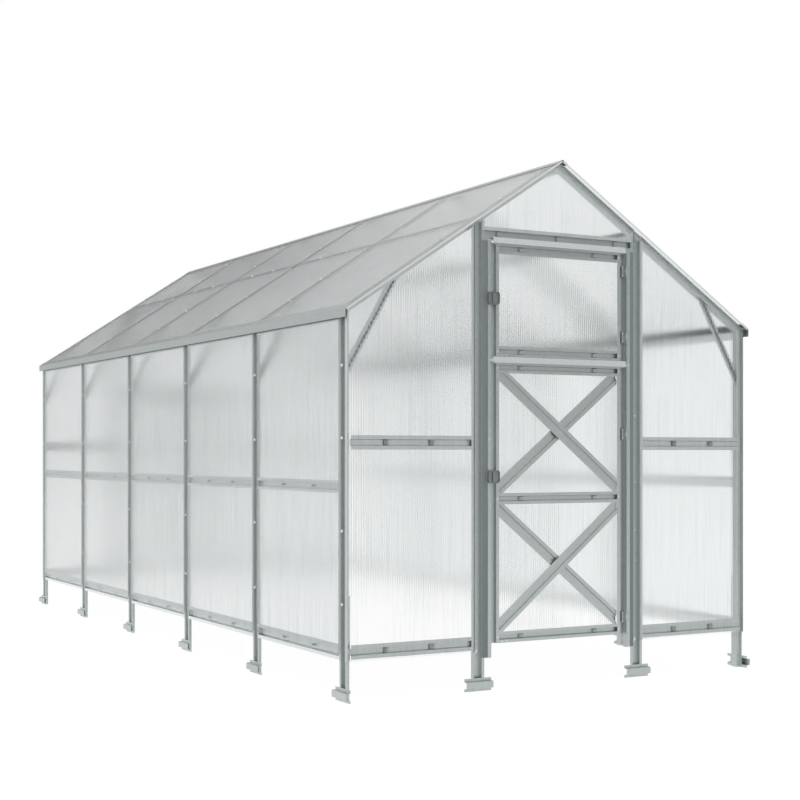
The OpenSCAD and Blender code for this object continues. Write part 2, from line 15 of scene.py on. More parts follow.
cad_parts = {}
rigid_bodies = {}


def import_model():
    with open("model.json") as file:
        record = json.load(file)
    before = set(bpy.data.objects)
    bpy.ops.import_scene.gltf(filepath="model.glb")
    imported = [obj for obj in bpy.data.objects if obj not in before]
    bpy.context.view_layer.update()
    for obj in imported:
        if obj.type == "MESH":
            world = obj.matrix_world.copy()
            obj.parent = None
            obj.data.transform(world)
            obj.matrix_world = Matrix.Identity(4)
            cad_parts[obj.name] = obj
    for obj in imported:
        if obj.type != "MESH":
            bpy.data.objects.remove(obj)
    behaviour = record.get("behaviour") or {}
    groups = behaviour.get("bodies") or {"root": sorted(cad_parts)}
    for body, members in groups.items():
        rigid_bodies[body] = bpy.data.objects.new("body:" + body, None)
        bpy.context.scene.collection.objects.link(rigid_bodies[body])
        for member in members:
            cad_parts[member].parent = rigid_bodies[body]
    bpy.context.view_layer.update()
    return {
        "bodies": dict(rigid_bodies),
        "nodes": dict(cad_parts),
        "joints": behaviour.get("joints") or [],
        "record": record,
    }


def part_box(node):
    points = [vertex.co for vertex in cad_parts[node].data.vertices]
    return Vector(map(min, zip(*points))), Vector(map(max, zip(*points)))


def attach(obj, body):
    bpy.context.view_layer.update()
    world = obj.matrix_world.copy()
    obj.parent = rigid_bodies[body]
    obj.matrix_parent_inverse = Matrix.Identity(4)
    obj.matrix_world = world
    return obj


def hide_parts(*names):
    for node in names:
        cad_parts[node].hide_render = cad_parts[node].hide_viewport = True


LOG = logging.getLogger("greenhouse")
MM = 0.001


class Side(Enum):
    """The two long sides of the house, as the sign of X."""

    LEFT = -1
    RIGHT = 1


class End(Enum):
    """The two gables, as the sign of Y."""

    FRONT = -1
    REAR = 1


class Across(Enum):
    """The axis across which the flutes of a sheet are counted, as its number."""

    X = 0
    Y = 1


def linear(hex_code: str) -> tuple[float, float, float, float]:
    """Turns an sRGB hex colour into linear RGBA.

    Args:
        hex_code: Six hex digits after a hash sign.

    Returns:
        Red, green, blue and an alpha of 1.
    """
    channels = [int(hex_code[i : i + 2], 16) / 255 for i in (1, 3, 5)]
    red, green, blue = [c / 12.92 if c <= 0.04045 else ((c + 0.055) / 1.055) ** 2.4 for c in channels]
    return red, green, blue, 1.0


def add_node(
    tree: bpy.types.NodeTree, kind: str, links: dict[Any, Any] | None = None, **settings: Any
) -> Any:
    """Adds a shader node with its settings and links.

    Args:
        tree: The node tree to add to.
        kind: The node's type name without the ShaderNode prefix.
        links: For each input, by name or number, a value or the output socket that feeds it.
        **settings: Properties of the node itself.

    Returns:
        The new node.
    """
    node = tree.nodes.new("ShaderNode" + kind)
    for name, value in settings.items():
        setattr(node, name, value)
    for name, value in (links or {}).items():
        if isinstance(value, bpy.types.NodeSocket):
            tree.links.new(value, node.inputs[name])
        else:
            node.inputs[name].default_value = value
    return node


def new_tree(owner: Any) -> bpy.types.NodeTree:
    """Gives a material or world an empty node tree.

    Args:
        owner: The material or world.

    Returns:
        Its node tree.
    """
    owner.use_nodes = True
    owner.node_tree.nodes.clear()
    return owner.node_tree


def blend(tree: bpy.types.NodeTree, share: bpy.types.NodeSocket, first: str, second: str) -> Any:
    """Mixes two sRGB hex colours.

    Args:
        tree: The node tree to add to.
        share: The output socket that says how much of the second colour shows.
        first: The colour where the share is 0.
        second: The colour where the share is 1.

    Returns:
        The output socket of the mixed colour.
    """
    links = {0: share, 6: linear(first), 7: linear(second)}
    return add_node(tree, "Mix", links, data_type="RGBA").outputs[2]


@dataclass(frozen=True)
class GalvanisedFinish:
    """Zinc-coated steel strip or sheet.

    Hot-dip zinc freezes into flat crystals some millimetres wide, so the eye sees a dull blue-grey
    metal whose brightness and gloss change a little from crystal to crystal.
    """

    name: str
    light: str
    dark: str
    roughness: float
    spangle_mm: float
    grain_mm: float = 1.2

    def build(self) -> bpy.types.Material:
        """Makes the material.

        Returns:
            The finished material.
        """
        material = bpy.data.materials.new(self.name)
        tree = new_tree(material)
        place = add_node(tree, "TexCoord").outputs["Object"]
        spangle = add_node(tree, "TexVoronoi", {"Vector": place, "Scale": 1 / (self.spangle_mm * MM)})
        grain = add_node(
            tree, "TexNoise", {"Vector": place, "Scale": 1 / (self.grain_mm * MM), "Detail": 2.0}
        )
        crystal = add_node(tree, "SeparateColor", {"Color": spangle.outputs["Color"]}).outputs[0]
        share = add_node(tree, "MapRange", {"Value": crystal, "To Min": 0.15, "To Max": 0.85})
        tint = blend(tree, share.outputs[0], self.dark, self.light)
        gloss = add_node(
            tree,
            "MapRange",
            {"Value": crystal, "To Min": self.roughness - 0.05, "To Max": self.roughness + 0.05},
        )
        relief = add_node(
            tree, "Bump", {"Height": grain.outputs[0], "Strength": 0.08, "Distance": 0.2 * MM}
        )
        shader = add_node(
            tree,
            "BsdfPrincipled",
            {
                "Base Color": tint,
                "Metallic": 0.9,
                "Roughness": gloss.outputs[0],
                "Normal": relief.outputs[0],
            },
        )
        add_node(tree, "OutputMaterial", {"Surface": shader.outputs[0]})
        return material


@dataclass(frozen=True)
class TwinWallFinish:
    """Clear extruded twin-wall polycarbonate.

    Two thin skins and their ribs scatter what lies behind them, so the sheet looks milky, near things
    stay sharp, far things go soft and the flutes show as fine streaks, no two of them quite as clear.
    The hollow sheet is mostly air, so it bends light less than solid polycarbonate would.
    """

    name: str
    across: Across
    tint: str
    clear: str
    roughness: float
    ior: float = 1.4
    transmission: float = 1.0
    streak_mm: float = 5.0
    streak_length_mm: float = 500.0

    def build(self) -> bpy.types.Material:
        """Makes the material.

        Returns:
            The finished material.
        """
        material = bpy.data.materials.new(self.name)
        tree = new_tree(material)
        place = add_node(tree, "TexCoord").outputs["Object"]
        density = [0.0, 0.0, 1 / (self.streak_length_mm * MM)]
        density[self.across.value] = 1 / (self.streak_mm * MM)
        stretched = add_node(tree, "VectorMath", {0: place, 1: density}, operation="MULTIPLY")
        streak = add_node(tree, "TexNoise", {"Vector": stretched.outputs[0], "Scale": 1.0, "Detail": 2.0})
        spread = add_node(tree, "MapRange", {"Value": streak.outputs[0], "From Min": 0.3, "From Max": 0.5})
        tint = blend(tree, spread.outputs[0], self.tint, self.clear)
        shader = add_node(
            tree,
            "BsdfPrincipled",
            {
                "Base Color": tint,
                "Roughness": self.roughness,
                "IOR": self.ior,
                "Transmission Weight": self.transmission,
            },
        )
        add_node(tree, "OutputMaterial", {"Surface": shader.outputs[0]})
        return material


@dataclass(frozen=True)
class PlainFinish:
    """A matt or satin surface of one colour, broken up by a fine grain.

    The sawn edges of the sheets look milky against their clear faces. The blocks in the rails are dull grey
    squares, their grey partly a painted shade for the dark spots in the channels, and the dark strips by the
    door posts are a painted shadow.
    """

    name: str
    colour: str
    grain_colour: str
    roughness: float
    grain_mm: float

    def build(self) -> bpy.types.Material:
        """Makes the material.

        Returns:
            The finished material.
        """
        material = bpy.data.materials.new(self.name)
        tree = new_tree(material)
        place = add_node(tree, "TexCoord").outputs["Object"]
        grain = add_node(
            tree, "TexNoise", {"Vector": place, "Scale": 1 / (self.grain_mm * MM), "Detail": 2.0}
        )
        tint = blend(tree, grain.outputs[0], self.colour, self.grain_colour)
        shader = add_node(tree, "BsdfPrincipled", {"Base Color": tint, "Roughness": self.roughness})
        add_node(tree, "OutputMaterial", {"Surface": shader.outputs[0]})
        return material


@dataclass(frozen=True)
class Palette:
    """Every finish of the house, named for its real material, and for the painted light or shade that some
    of them carry.
    """

    strip: bpy.types.Material
    fresh: bpy.types.Material
    folded: bpy.types.Material
    eave: bpy.types.Material
    fitting: bpy.types.Material
    latch: bpy.types.Material
    zinc: bpy.types.Material
    rubber: bpy.types.Material
    seal: bpy.types.Material
    edge: bpy.types.Material
    sheets: dict[Across, bpy.types.Material]

    @classmethod
    def make(cls) -> Palette:
        """Builds the finishes.

        Returns:
            The palette.
        """
        # Frame profiles: dull blue-grey with a faint spangle
        strip = GalvanisedFinish("hot-dip galvanised strip", "#CDD3D2", "#BFC6C5", 0.42, 9.0)
        # Long-wall rails under the sheets: the same steel painted almost as light as the sheets themselves,
        # a painted light for the whitish glow of the milky sheets over them
        fresh = GalvanisedFinish("bright galvanised strip", "#F4F7F7", "#E8ECEC", 0.42, 9.0)
        # Drip bars: smoother and lighter than the profiles round them
        folded = GalvanisedFinish("folded galvanised sheet", "#CCD2D1", "#BEC5C4", 0.36, 14.0)
        # Eave trims and ridge cap: a darker line round the roof
        eave = GalvanisedFinish("dull folded galvanised sheet", "#BBC1C0", "#AEB5B4", 0.45, 14.0)
        # Hinges: small light plates in the stiles
        fitting = GalvanisedFinish("dull zinc-plated steel", "#C4CBCA", "#B4BBBA", 0.45, 5.0)
        # Latches: painted the darkest metal on the leaves, a painted shade for the shadow in their recessed
        # dishes
        latch = GalvanisedFinish("grey zinc casting", "#9BA2A1", "#8E9594", 0.5, 2.0)
        # Screws, rivets and caps: bright dots
        zinc = GalvanisedFinish("bright zinc-plated steel", "#E2E7E7", "#D4DADA", 0.3, 3.0)
        # Pads in the rails and their screw heads: soft grey squares without a shine, their grey partly a
        # painted shade for the dark spots in the channels
        rubber = PlainFinish("grey rubber", "#A4ABAA", "#AEB5B4", 0.7, 1.5)
        # Painted shadow by the door posts: a dark strip beside each surround strip, standing for the shadow
        # gap there
        seal = PlainFinish("dark grey rubber", "#747B7A", "#7E8584", 0.7, 1.5)
        # Cut edges of the sheets: milky against the clear faces
        edge = PlainFinish("sawn polycarbonate edge", "#CED3D3", "#D8DDDD", 0.5, 4.0)
        # Gables and leaves: the clearest sheets, with fine upright streaks
        upright = TwinWallFinish("clear twin-wall polycarbonate", Across.X, "#F2F6F6", "#FFFFFF", 0.16)
        # Long walls and roof: the same sheet painted a little greyer, a painted shade for the darker look
        # these faces have at their slant, with the flutes counted along the house
        lengthwise = TwinWallFinish("clear twin-wall roofing", Across.Y, "#E2E6E6", "#F3F6F6", 0.17)
        return cls(
            strip=strip.build(),
            fresh=fresh.build(),
            folded=folded.build(),
            eave=eave.build(),
            fitting=fitting.build(),
            latch=latch.build(),
            zinc=zinc.build(),
            rubber=rubber.build(),
            seal=seal.build(),
            edge=edge.build(),
            sheets={finish.across: finish.build() for finish in (upright, lengthwise)},
        )

    def of_node(self, node: str, slot: str) -> bpy.types.Material:
        """Picks the finish of a CAD node.

        Args:
            node: The node's name.
            slot: Its material slot in the record.

        Returns:
            The finish.
        """
        own = dict.fromkeys(("eave_trims", "ridge_cap"), self.eave)
        # The long-wall rails take the lightened steel, a painted light.
        own.update(dict.fromkeys(("left_wall_rails", "right_wall_rails"), self.fresh))
        # The latches take the darkened casting, a painted shade.
        own.update(dict.fromkeys(("door_latch", "vent_latch", "rear_latches"), self.latch))
        by_slot = {
            "galvanised_steel": self.strip,
            "galvanised_trim": self.folded,
            "zinc_fittings": self.fitting,
            "twin_wall_sheet": self.sheets[Across.X],
        }
        return own.get(node, by_slot[slot])


class Bench:
    """Modelling moves that the pieces share. Each works on one object, selected alone."""

    @staticmethod
    def take(obj: bpy.types.Object) -> None:
        """Selects one object alone and makes it active.

        Args:
            obj: The object to work on.
        """
        if bpy.context.object and bpy.context.object.mode != "OBJECT":
            bpy.ops.object.mode_set(mode="OBJECT")
        bpy.ops.object.select_all(action="DESELECT")
        obj.select_set(True)
        bpy.context.view_layer.objects.active = obj

    @staticmethod
    def block(name: str, low: Vector, high: Vector) -> bpy.types.Object:
        """Adds a cube stretched between two corners.

        Args:
            name: The object's name.
            low: The lowest corner.
            high: The highest corner.

        Returns:
            The new object, with its place in its mesh.
        """
        bpy.ops.object.select_all(action="DESELECT")
        bpy.ops.mesh.primitive_cube_add(size=1, location=(low + high) / 2, scale=high - low)
        obj = bpy.context.object
        obj.name = obj.data.name = name
        bpy.ops.object.transform_apply(location=True, rotation=True, scale=True)
        return obj

    @staticmethod
    def pick(obj: bpy.types.Object, kind: str, test: Callable[[Any], bool]) -> None:
        """Selects vertices, edges or faces in edit mode.

        Args:
            obj: The object being shaped.
            kind: VERT, EDGE or FACE.
            test: Says of each vertex, edge or polygon of the mesh whether it is selected.
        """
        bpy.ops.object.mode_set(mode="EDIT")
        bpy.ops.mesh.select_mode(type=kind)
        bpy.ops.mesh.select_all(action="DESELECT")
        bpy.ops.object.mode_set(mode="OBJECT")
        mesh = obj.data
        for item in {"VERT": mesh.vertices, "EDGE": mesh.edges, "FACE": mesh.polygons}[kind]:
            item.select = test(item)
        bpy.ops.object.mode_set(mode="EDIT")

    @staticmethod
    def close(obj: bpy.types.Object, smooth_deg: float) -> None:
        """Merges doubles, turns the faces outwards and smooths shallow edges.

        Args:
            obj: The object being finished.
            smooth_deg: Edges flatter than this are smoothed.
        """
        Bench.take(obj)
        bpy.ops.object.mode_set(mode="EDIT")
        bpy.ops.mesh.select_all(action="SELECT")
        bpy.ops.mesh.remove_doubles(threshold=0.001 * MM)
        bpy.ops.mesh.normals_make_consistent(inside=False)
        bpy.ops.object.mode_set(mode="OBJECT")
        bpy.ops.object.shade_smooth_by_angle(angle=math.radians(smooth_deg))

    @staticmethod
    def place(obj: bpy.types.Object, matrix: Matrix) -> None:
        """Moves an object's mesh, leaving the object at the origin."""
        obj.data.transform(matrix)

    @staticmethod
    def join(name: str, parts: Sequence[bpy.types.Object]) -> bpy.types.Object:
        """Joins objects into one.

        Args:
            name: The joined object's name.
            parts: The objects, which sit at the origin.

        Returns:
            The joined object.
        """
        Bench.take(parts[0])
        for part in parts[1:]:
            part.select_set(True)
        if len(parts) > 1:
            bpy.ops.object.join()
        parts[0].name = parts[0].data.name = name
        return parts[0]

    @staticmethod
    def scatter(name: str, shape: bpy.types.Object, places: Sequence[Matrix]) -> bpy.types.Object:
        """Sets copies of a shape, each with its own mesh, and joins them.

        Args:
            name: The joined object's name.
            shape: The shape, seated on the origin. It is used up.
            places: Where each copy stands.

        Returns:
            The joined copies.
        """
        copies = []
        for place in places:
            copy = shape.copy()
            copy.data = shape.data.copy()
            bpy.context.scene.collection.objects.link(copy)
            Bench.place(copy, place)
            copies.append(copy)
        bpy.data.objects.remove(shape)
        return Bench.join(name, copies)

    @staticmethod
    def dress(
        obj: bpy.types.Object, finishes: Sequence[bpy.types.Material], body: str, slot: str
    ) -> None:
        """Gives a piece its finishes and its body.

        Args:
            obj: The piece.
            finishes: Its materials, the main one first.
            body: The CAD body it moves with.
            slot: The record's material slot; not used.
        """
        for finish in finishes:
            obj.data.materials.append(finish)
        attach(obj, body)
        LOG.info("%s rides on %s, %d faces", obj.name, body, len(obj.data.polygons))


@dataclass(frozen=True)
class Face:
    """A flat face of the house on which fasteners sit, seen from outside."""

    origin: Vector
    right: Vector
    up: Vector

    def at(self, across: float, rise: float, out: float = 0.0) -> Matrix:
        """Says how a shape modelled along +Z stands on the face.

        Args:
            across: Distance to the right of the origin.
            rise: Distance up from the origin.
            out: Distance out of the face.

        Returns:
            The matrix that takes the shape there.
        """
        outward = self.right.cross(self.up)
        spot = self.origin + across * self.right + rise * self.up + out * outward
        turn = Matrix((self.right, self.up, outward)).transposed()
        return Matrix.Translation(spot) @ turn.to_4x4()


@dataclass(frozen=True)
class House:
    """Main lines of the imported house, in metres."""

    half_w: float
    half_l: float
    gable_y: float
    sill_z: float
    eave_z: float
    pitch: float
    sheet_t: float
    bays: int = 5

    @classmethod
    def from_frame(cls) -> House:
        """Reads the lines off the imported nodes.

        Returns:
            The house.
        """
        posts_low, posts_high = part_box("wall_posts")
        rafters_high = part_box("left_rafters")[1]
        sheets_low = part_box("left_wall_sheets")[0]
        half_w = -posts_low.x
        return cls(
            half_w=half_w,
            half_l=-posts_low.y - PostSection.half_w,
            gable_y=-posts_low.y,
            sill_z=posts_low.z,
            eave_z=posts_high.z,
            pitch=math.atan((rafters_high.z - posts_high.z) / half_w),
            sheet_t=-half_w - sheets_low.x,
        )

    @property
    def bay(self) -> float:
        """Distance between two frames."""
        return 2 * self.half_l / self.bays

    @property
    def frame_y(self) -> list[float]:
        """Places of the frames along the house."""
        return [i * self.bay - self.half_l for i in range(self.bays + 1)]

    @property
    def bay_y(self) -> list[float]:
        """Middles of the bays along the house."""
        return [y + self.bay / 2 for y in self.frame_y[:-1]]

    def wall_face(self, side: Side) -> Face:
        """Steel plane of a long wall, from the sill up."""
        corner = Vector((side.value * self.half_w, 0, self.sill_z))
        return Face(corner, Vector((0, side.value, 0)), Vector((0, 0, 1)))

    def gable_face(self, end: End) -> Face:
        """Steel plane of a gable, from the sill up."""
        corner = Vector((0, end.value * self.gable_y, self.sill_z))
        return Face(corner, Vector((-end.value, 0, 0)), Vector((0, 0, 1)))

    def roof_face(self, side: Side) -> Face:
        """Steel plane of a roof slope, from the eave up."""
        corner = Vector((side.value * self.half_w, 0, self.eave_z))
        return Face(corner, Vector((0, side.value, 0)), self.slope_up(side))

    def slope_up(self, side: Side) -> Vector:
        """Direction up the roof slope of one side."""
        return Vector((-side.value * math.cos(self.pitch), 0, math.sin(self.pitch)))

    def slope_out(self, side: Side) -> Vector:
        """Outward normal of the roof slope of one side."""
        return Vector((side.value * math.sin(self.pitch), 0, math.cos(self.pitch)))


class PostSection:
    """Hat profile of the posts, rafters and bottom wall rails, in metres."""

    mouth = 40 * MM
    flange = 17 * MM
    floor = 20.5 * MM
    half_w = mouth / 2 + flange


class RailSection:
    """Hat profiles of the lighter rails, in metres."""

    floor = 16.5 * MM


def loose_solids(node: bpy.types.Object) -> list[list[Vector]]:
    """Finds the separate solids of a CAD node.

    Args:
        node: The node's object.

    Returns:
        The corner points of each solid, in the order of their centres along Y, then X, then Z.
    """
    mesh = node.data
    above: dict[tuple, tuple] = {}

    def root(key: tuple) -> tuple:
        """Follows a corner to the one that stands for its solid.

        Args:
            key: The corner.

        Returns:
            The corner that stands for its solid.
        """
        while above[key] != key:
            key = above[key]
        return key

    for polygon in mesh.polygons:
        keys = [tuple(round(c, 5) for c in mesh.vertices[i].co) for i in polygon.vertices]
        for key in keys:
            above.setdefault(key, key)
        for key in keys[1:]:
            above[root(key)] = root(keys[0])
    groups: dict[tuple, list[Vector]] = {}
    for key in above:
        groups.setdefault(root(key), []).append(Vector(key))

    def centre(points: list[Vector]) -> tuple:
        """Sorting key of a solid."""
        middle = sum(points, Vector()) / len(points)
        return round(middle.y, 3), round(middle.x, 3), round(middle.z, 3)

    return sorted(groups.values(), key=centre)


@dataclass
class SheetSet:
    """The twin-wall sheets of one CAD node, each with its flutes as real waves in both faces."""

    node: str
    body: str
    out: Vector
    along: Vector
    across: Across
    cuts: Sequence[Vector] = ()
    flute: float = 12.5 * MM
    sag: float = 0.6 * MM
    steps: int = 6

    def build(self, frame: dict[str, Any]) -> bpy.types.Object:
        """Models every sheet of the node and joins them.

        Args:
            frame: The loaded frame.

        Returns:
            The joined sheets, which stand for the node.
        """
        solids = loose_solids(frame["nodes"][self.node])
        parts = [self._sheet(points) for points in solids]
        sheets = Bench.join(self.node + "_fluted", parts)
        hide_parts(self.node)
        return sheets

    def _sheet(self, points: list[Vector]) -> bpy.types.Object:
        """Models one sheet.

        Args:
            points: Corners of its solid.

        Returns:
            The sheet in place.
        """
        across = self.along.cross(self.out)
        axes = (self.out, across, self.along)
        low = Vector([min(p.dot(a) for p in points) for a in axes])
        high = Vector([max(p.dot(a) for p in points) for a in axes])
        size = high - low
        count = round(size.y / self.flute)
        sheet = self._flute(size.x, size.y / count, size.z)
        self._repeat(sheet, count, size.y / count)
        turn = Matrix((self.out, across, self.along)).transposed()
        middle = turn @ Vector(((low.x + high.x) / 2, low.y, low.z))
        Bench.place(sheet, Matrix.Translation(middle) @ turn.to_4x4())
        for normal in self.cuts:
            self._trim(sheet, normal, max(p.dot(normal) for p in points))
        Bench.close(sheet, 20)
        return sheet

    def _flute(self, thickness: float, width: float, length: float) -> bpy.types.Object:
        """Models one flute, open at its two sides.

        Args:
            thickness: Size through the sheet, along X.
            width: Pitch of the flutes, along Y.
            length: Size along the flutes, along Z.

        Returns:
            The flute, with its first side on the origin.
        """
        half = thickness / 2
        flute = Bench.block("flute", Vector((-half, 0, 0)), Vector((half, width, length)))
        Bench.pick(flute, "FACE", lambda face: abs(face.normal.y) > 0.9)
        bpy.ops.mesh.delete(type="FACE")
        bpy.ops.object.mode_set(mode="OBJECT")
        verts = flute.data.vertices
        Bench.pick(
            flute,
            "EDGE",
            lambda edge: abs(verts[edge.vertices[0]].co.y - verts[edge.vertices[1]].co.y) > 0.1 * width,
        )
        bpy.ops.mesh.subdivide(number_cuts=self.steps - 1)
        bpy.ops.object.mode_set(mode="OBJECT")
        for step in range(1, self.steps):
            share = step / self.steps
            dip = self.sag * 4 * share * (1 - share)
            Bench.pick(flute, "VERT", lambda vert: abs(vert.co.y - share * width) < 0.1 * width / self.steps)
            bpy.ops.transform.resize(value=((half - dip) / half, 1, 1), center_override=(0, 0, 0))
            bpy.ops.object.mode_set(mode="OBJECT")
        return flute

    def _repeat(self, sheet: bpy.types.Object, count: int, width: float) -> None:
        """Repeats a flute into a whole sheet and closes its two sides.

        Args:
            sheet: The flute.
            count: Number of flutes.
            width: Pitch of the flutes.
        """
        Bench.take(sheet)
        array = sheet.modifiers.new("flutes", "ARRAY")
        array.count = count
        array.use_relative_offset = False
        array.use_constant_offset = True
        array.constant_offset_displace = (0, width, 0)
        array.use_merge_vertices = True
        array.merge_threshold = 0.01 * MM
        bpy.ops.object.modifier_apply(modifier=array.name)
        bpy.ops.object.mode_set(mode="EDIT")
        bpy.ops.mesh.select_all(action="SELECT")
        bpy.ops.mesh.fill_holes(sides=0)
        bpy.ops.object.mode_set(mode="OBJECT")

    def _trim(self, sheet: bpy.types.Object, normal: Vector, reach: float) -> None:
        """Cuts a sheet off along a slope.

        Args:
            sheet: The sheet, in place.
            normal: Outward normal of the cut.
            reach: Distance of the cut from the origin along that normal.
        """
        if max(v.co.dot(normal) for v in sheet.data.vertices) < reach + 0.1 * MM:
            return
        Bench.take(sheet)
        bpy.ops.object.mode_set(mode="EDIT")
        bpy.ops.mesh.select_all(action="SELECT")
        bpy.ops.mesh.bisect(plane_co=normal * reach, plane_no=normal, use_fill=True, clear_outer=True)
        bpy.ops.object.mode_set(mode="OBJECT")


@dataclass
class Cladding:
    """Every sheet of the house."""

    house: House
    frame: dict[str, Any]
    palette: Palette

    def build(self) -> None:
        """Models and dresses the sheets of the walls, roof, gables and leaves."""
        up = Vector((0, 0, 1))
        sets = []
        for side in Side:
            name, out = side.name.lower(), Vector((side.value, 0, 0))
            slope_out, slope_up = self.house.slope_out(side), self.house.slope_up(side)
            sets.append(SheetSet(f"{name}_wall_sheets", "house", out, up, Across.Y))
            sets.append(SheetSet(f"{name}_roof_sheets", "house", slope_out, slope_up, Across.Y))
        front, rear = [Vector((0, end.value, 0)) for end in End]
        slopes = [self.house.slope_out(side) for side in Side]
        sets.append(SheetSet("front_gable_sheets", "house", front, up, Across.X, slopes))
        sets.append(SheetSet("rear_gable_sheets", "house", rear, up, Across.X, slopes))
        sets.append(SheetSet("vent_sheet", "house", front, up, Across.X))
        sets.append(SheetSet("rear_leaf_sheets", "house", rear, up, Across.X))
        sets.append(SheetSet("door_sheet", "door", front, up, Across.X))
        for sheets in sets:
            self._dress(sheets)

    def _dress(self, sheets: SheetSet) -> None:
        """Models one set, clear on its faces and milky on its cut edges.

        Args:
            sheets: The set.
        """
        piece = sheets.build(self.frame)
        finishes = (self.palette.sheets[sheets.across], self.palette.edge)
        Bench.dress(piece, finishes, sheets.body, "twin_wall_sheet")
        for polygon in piece.data.polygons:
            is_edge = abs(polygon.normal.dot(sheets.out)) < 0.5
            polygon.material_index = int(is_edge)


@dataclass(frozen=True)
class TurnedShape:
    """A small fastener drawn ring by ring from its seat to its crown, in millimetres."""

    name: str
    rings: tuple[tuple[float, float], ...]
    sides: int = 12

    def build(self) -> bpy.types.Object:
        """Models the shape along +Z.

        Returns:
            The shape, seated on the origin.
        """
        (radius, height), *rings = self.rings
        bpy.ops.object.select_all(action="DESELECT")
        bpy.ops.mesh.primitive_circle_add(
            vertices=self.sides, radius=radius * MM, fill_type="NGON", location=(0, 0, height * MM)
        )
        shape = bpy.context.object
        shape.name = shape.data.name = self.name
        bpy.ops.object.transform_apply(location=True, rotation=True, scale=True)
        bpy.ops.object.mode_set(mode="EDIT")
        bpy.ops.mesh.select_mode(type="FACE")
        bpy.ops.mesh.select_all(action="SELECT")
        for next_radius, next_height in rings:
            rise = (next_height - height) * MM
            share = next_radius / radius
            bpy.ops.mesh.extrude_region_move(TRANSFORM_OT_translate={"value": (0, 0, rise)})
            bpy.ops.transform.resize(value=(share, share, 1), center_override=(0, 0, next_height * MM))
            radius, height = next_radius, next_height
        bpy.ops.object.mode_set(mode="OBJECT")
        Bench.close(shape, 35)
        return shape


class Fasteners:
    """The shapes of the small hardware."""

    @staticmethod
    def post_cap() -> bpy.types.Object:
        """Domed cap on a stud that stands on the floor of a post's channel."""
        rings = ((4, 0), (4, 22.5), (8.5, 22.5), (8.5, 25.5), (6.8, 28), (3, 29))
        return TurnedShape("post_cap", rings).build()

    @staticmethod
    def roof_screw() -> bpy.types.Object:
        """Wide washer under a domed screw head."""
        rings = ((8, 0), (8, 1), (5.5, 2), (5.5, 4.5), (3.5, 6))
        return TurnedShape("roof_screw", rings).build()

    @staticmethod
    def pan_screw() -> bpy.types.Object:
        """Small domed screw head."""
        return TurnedShape("pan_screw", ((5, 0), (5, 1.8), (3.6, 3.2), (1.6, 3.8))).build()

    @staticmethod
    def rivet() -> bpy.types.Object:
        """Blind rivet with a thin flange and a dimple."""
        rings = ((5.5, 0), (5.5, 0.6), (3.8, 1.8), (1.8, 1.8), (1.4, 1.1))
        return TurnedShape("rivet", rings, 10).build()

    @staticmethod
    def hex_bolt() -> bpy.types.Object:
        """Hexagon bolt head on its washer.

        Returns:
            The bolt, seated on the origin.
        """
        washer = TurnedShape("washer", ((11, 0), (11, 1.6), (9.5, 2.0))).build()
        head = TurnedShape("head", ((7.5, 2.0), (7.5, 6.5), (6.3, 7.3)), 6).build()
        return Bench.join("hex_bolt", [washer, head])

    @staticmethod
    def block(width: float, height: float, depth: float) -> bpy.types.Object:
        """Spacer block with a chamfered face.

        Args:
            width: Size along the rail.
            height: Size across the rail.
            depth: Size out of the channel's floor.

        Returns:
            The block, seated on the origin.
        """
        chamfer = 1.5 * MM
        half = Vector((width / 2, height / 2, 0))
        block = Bench.block("spacer", -half, half + Vector((0, 0, depth - chamfer)))
        Bench.pick(block, "FACE", lambda face: face.normal.z > 0.9)
        bpy.ops.mesh.inset(thickness=chamfer, depth=chamfer)
        bpy.ops.object.mode_set(mode="OBJECT")
        Bench.close(block, 20)
        return block

    @staticmethod
    def pin(length: float, radius: float) -> bpy.types.Object:
        """Round pin with a rounded tip.

        Args:
            length: Size along +Z.
            radius: Its radius.

        Returns:
            The pin, seated on the origin.
        """
        rings = ((radius, 0), (radius, length - 0.4 * radius), (0.6 * radius, length))
        return TurnedShape("pin", tuple((r / MM, h / MM) for r, h in rings)).build()


@dataclass(frozen=True)
class LeafPlan:
    """Places of the fasteners of one leaf, in metres up from the sill."""

    name: str
    body: str
    end: End
    rails: tuple[float, ...]
    hinges: tuple[float, ...]
    bar: float

    @classmethod
    def door(cls, name: str, body: str, end: End) -> LeafPlan:
        """Plan of a lower leaf with three rails."""
        return cls(name, body, end, rails=(0.065, 0.731, 1.363), hinges=(0.125, 1.046), bar=1.397)

    @classmethod
    def vent(cls, name: str, body: str, end: End) -> LeafPlan:
        """Plan of an upper leaf with two rails."""
        return cls(name, body, end, rails=(1.439, 1.936), hinges=(1.535, 1.868), bar=1.970)


